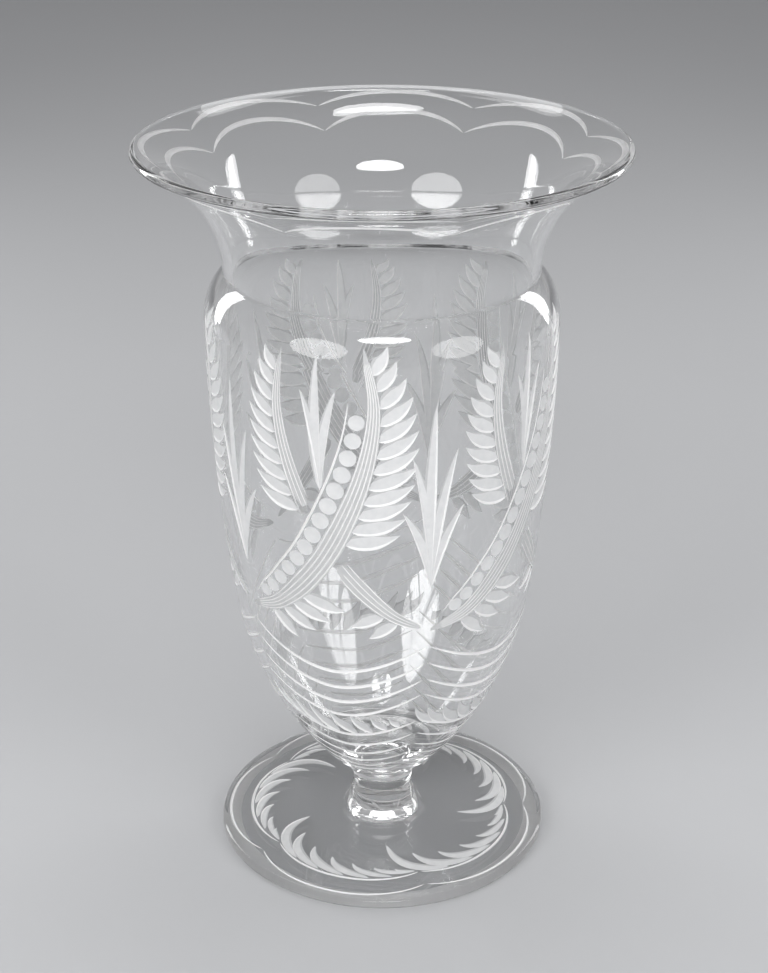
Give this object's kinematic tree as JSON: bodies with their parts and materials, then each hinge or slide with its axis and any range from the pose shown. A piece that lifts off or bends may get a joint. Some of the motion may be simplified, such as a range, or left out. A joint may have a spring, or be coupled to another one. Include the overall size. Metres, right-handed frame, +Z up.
{
  "type": "celery vase",
  "caption": "Footed vase of clear cut glass: tapering bowl with a rounded shoulder, drawn-in neck and wide flared rim, on a short stem and a flat round foot.",
  "frame": {"origin": "middle of the flat ring that the foot stands on", "axes": "+Z up along the vase's axis, -Y towards the picture's camera, +X to the camera's right"},
  "size_m": [0.157, 0.157, 0.25],
  "materials": {
    "foot_glass": "clear, fire polished, with a line and a leaf wreath cut on it",
    "stem_glass": "clear, fire polished",
    "bowl_glass": "clear, fire polished, with wheel-cut ornament in bright lines and frosted leaves"
  },
  "bodies": {
    "root": {"foot": "foot_glass", "stem": "stem_glass", "wafer": "stem_glass", "bowl": "bowl_glass"}
  },
  "joints": []
}
